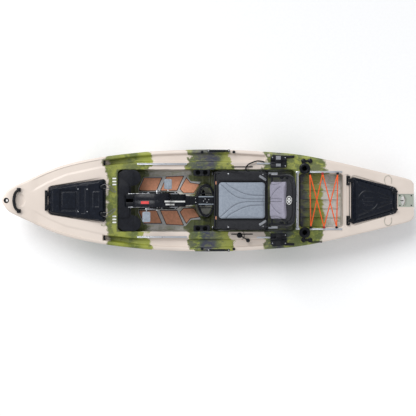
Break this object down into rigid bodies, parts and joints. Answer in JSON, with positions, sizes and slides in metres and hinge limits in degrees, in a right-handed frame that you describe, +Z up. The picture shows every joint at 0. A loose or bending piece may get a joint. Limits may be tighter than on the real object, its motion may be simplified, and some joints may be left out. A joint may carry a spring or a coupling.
{
  "type": "pedal kayak",
  "caption": "Sit-on-top fishing kayak with pedal drive, retracting propeller leg, sliding frame seat, two hatches, tank well and lever-steered rudder.",
  "frame": {"origin": "centre of the plan outline, at the height of the skeg's foot", "axes": "+X towards the stern, +Y towards starboard, +Z up"},
  "size_m": [3.84, 0.952, 0.8861],
  "materials": {
    "hull_plastic": "rotomoulded, blotched camouflage",
    "black_plastic": "moulded, fine grain",
    "black_rubber": "matt",
    "foot_foam": "embossed closed-cell foam",
    "track_aluminium": "satin anodised",
    "drive_steel": "satin",
    "seat_tube": "black powder coat",
    "seat_fabric": "woven, padded",
    "seat_webbing": "woven webbing",
    "pedal_grey": "moulded",
    "bungee_red": "braided sleeve"
  },
  "bodies": {
    "hull": {"hull_shell": "hull_plastic", "front_hatch_gasket": "black_rubber", "rear_hatch_gasket": "black_rubber", "front_hatch_hinge": "black_plastic", "rear_hatch_hinge": "black_plastic", "gear_track_port": "track_aluminium", "gear_track_starboard": "track_aluminium", "well_track_port": "track_aluminium", "well_track_starboard": "track_aluminium", "foot_mat_port": "foot_foam", "foot_mat_starboard": "foot_foam", "rod_holder_cup_port": "black_plastic", "rod_holder_cup_starboard": "black_plastic", "shaft_keeper_port": "black_plastic", "shaft_keeper_starboard": "black_plastic", "cup_holder_port": "black_plastic", "cup_holder_starboard": "black_plastic", "seat_rail_port": "track_aluminium", "seat_rail_starboard": "track_aluminium", "drive_cover_port": "black_plastic", "drive_cover_starboard": "black_plastic", "well_cover": "black_plastic", "rear_crossbar": "track_aluminium", "tank_bungee": "bungee_red", "drive_mount": "black_plastic", "drive_base": "black_plastic", "drive_shaft_sleeve": "black_rubber", "leg_pivot_pin": "drive_steel", "rudder_bracket": "black_plastic", "rudder_cable": "black_rubber"},
    "front_lid": {"front_hatch_lid": "black_plastic"},
    "front_latch_port": {"front_hatch_latch_port": "black_plastic"},
    "front_latch_starboard": {"front_hatch_latch_starboard": "black_plastic"},
    "rear_lid": {"rear_hatch_lid": "black_plastic"},
    "rear_latch_port": {"rear_hatch_latch_port": "black_plastic"},
    "rear_latch_starboard": {"rear_hatch_latch_starboard": "black_plastic"},
    "bow_grip": {"bow_handle": "black_rubber"},
    "side_grip_port": {"side_handle_port": "black_plastic"},
    "side_grip_starboard": {"side_handle_starboard": "black_plastic"},
    "crank": {"crank_axle": "drive_steel", "crown_wheel": "drive_steel", "crank_arm_port": "drive_steel", "crank_arm_starboard": "drive_steel"},
    "pedal_left": {"pedal_port": "pedal_grey"},
    "pedal_right": {"pedal_starboard": "pedal_grey"},
    "input_pinion": {"pinion": "drive_steel"},
    "lower_leg": {"drive_leg": "black_plastic"},
    "prop": {"propeller": "black_plastic"},
    "seat": {"seat_frame": "seat_tube", "seat_sling": "seat_webbing", "seat_cushion": "seat_fabric", "seat_arm_strap_port": "seat_webbing", "seat_arm_strap_starboard": "seat_webbing"},
    "seat_back": {"seat_back_frame": "seat_tube", "seat_back_panel": "seat_webbing", "seat_back_cushion": "seat_fabric"},
    "lever": {"steering_lever": "black_plastic"},
    "rudder": {"rudder_blade": "black_plastic", "rudder_stock": "drive_steel"},
    "plug": {"drain_plug": "black_plastic"}
  },
  "joints": [
    {"name": "front_hatch_open", "type": "hinge", "parent": "hull", "child": "front_lid", "pos_m": [-1.501, 0, 0.449], "axis": [0, -1, 0], "range_deg": [0, 100]},
    {"name": "rear_hatch_open", "type": "hinge", "parent": "hull", "child": "rear_lid", "pos_m": [1.31, 0, 0.389], "axis": [0, -1, 0], "range_deg": [0, 100]},
    {"name": "front_latch_port_turn", "type": "hinge", "parent": "front_lid", "child": "front_latch_port", "pos_m": [-0.985, -0.125, 0.464], "axis": [0, 0, 1], "range_deg": [0, 90]},
    {"name": "front_latch_starboard_turn", "type": "hinge", "parent": "front_lid", "child": "front_latch_starboard", "pos_m": [-0.985, 0.125, 0.464], "axis": [0, 0, -1], "range_deg": [0, 90]},
    {"name": "rear_latch_port_turn", "type": "hinge", "parent": "rear_lid", "child": "rear_latch_port", "pos_m": [1.722, -0.084, 0.364], "axis": [0, 0, 1], "range_deg": [0, 90]},
    {"name": "rear_latch_starboard_turn", "type": "hinge", "parent": "rear_lid", "child": "rear_latch_starboard", "pos_m": [1.722, 0.084, 0.364], "axis": [0, 0, -1], "range_deg": [0, 90]},
    {"name": "bow_handle_lift", "type": "hinge", "parent": "hull", "child": "bow_grip", "pos_m": [-1.755, 0, 0.466], "axis": [0, 1, 0], "range_deg": [0, 60]},
    {"name": "side_handle_port_lift", "type": "hinge", "parent": "hull", "child": "side_grip_port", "pos_m": [0.095, -0.452, 0.347], "axis": [-1, 0, 0], "range_deg": [0, 90]},
    {"name": "side_handle_starboard_lift", "type": "hinge", "parent": "hull", "child": "side_grip_starboard", "pos_m": [0.095, 0.452, 0.347], "axis": [1, 0, 0], "range_deg": [0, 90]},
    {"name": "crank_spin", "type": "hinge", "parent": "hull", "child": "crank", "pos_m": [-0.472, 0, 0.497], "axis": [0, 1, 0], "continuous": true},
    {"name": "pedal_port_spin", "type": "hinge", "parent": "crank", "child": "pedal_left", "pos_m": [-0.56818, -0.152, 0.62235], "axis": [0, 1, 0], "continuous": true},
    {"name": "pedal_starboard_spin", "type": "hinge", "parent": "crank", "child": "pedal_right", "pos_m": [-0.37582, 0.152, 0.37165], "axis": [0, 1, 0], "continuous": true},
    {"name": "pinion_spin", "type": "hinge", "parent": "hull", "child": "input_pinion", "pos_m": [-0.58, 0.008, 0.497], "axis": [1, 0, 0], "continuous": true},
    {"name": "propeller_spin", "type": "hinge", "parent": "lower_leg", "child": "prop", "pos_m": [-0.048, 0, 0.2], "axis": [1, 0, 0], "continuous": true},
    {"name": "leg_deploy", "type": "hinge", "parent": "hull", "child": "lower_leg", "pos_m": [-0.8, 0, 0.205], "axis": [0, 1, 0], "range_deg": [0, 35]},
    {"name": "seat_slide", "type": "slide", "parent": "hull", "child": "seat", "axis": [1, 0, 0], "range_m": [0, 0.09]},
    {"name": "seat_back_recline", "type": "hinge", "parent": "seat", "child": "seat_back", "pos_m": [0.568, 0, 0.512], "axis": [0, 1, 0], "range_deg": [-85, 8]},
    {"name": "steering_lever_turn", "type": "hinge", "parent": "hull", "child": "lever", "pos_m": [0.29, -0.324, 0.345], "axis": [0, 0, 1], "range_deg": [-35, 35]},
    {"name": "rudder_steer", "type": "hinge", "parent": "hull", "child": "rudder", "pos_m": [1.646, 0, 0.1], "axis": [0, 0, 1], "range_deg": [-35, 35]},
    {"name": "drain_plug_turn", "type": "hinge", "parent": "hull", "child": "plug", "pos_m": [0.185, 0, 0.075], "axis": [0, 0, 1], "continuous": true}
  ],
  "couplings": [
    {"joint": "pinion_spin", "follows": "crank_spin", "ratio": 4},
    {"joint": "propeller_spin", "follows": "crank_spin", "ratio": 8},
    {"joint": "rudder_steer", "follows": "steering_lever_turn", "ratio": 1}
  ]
}
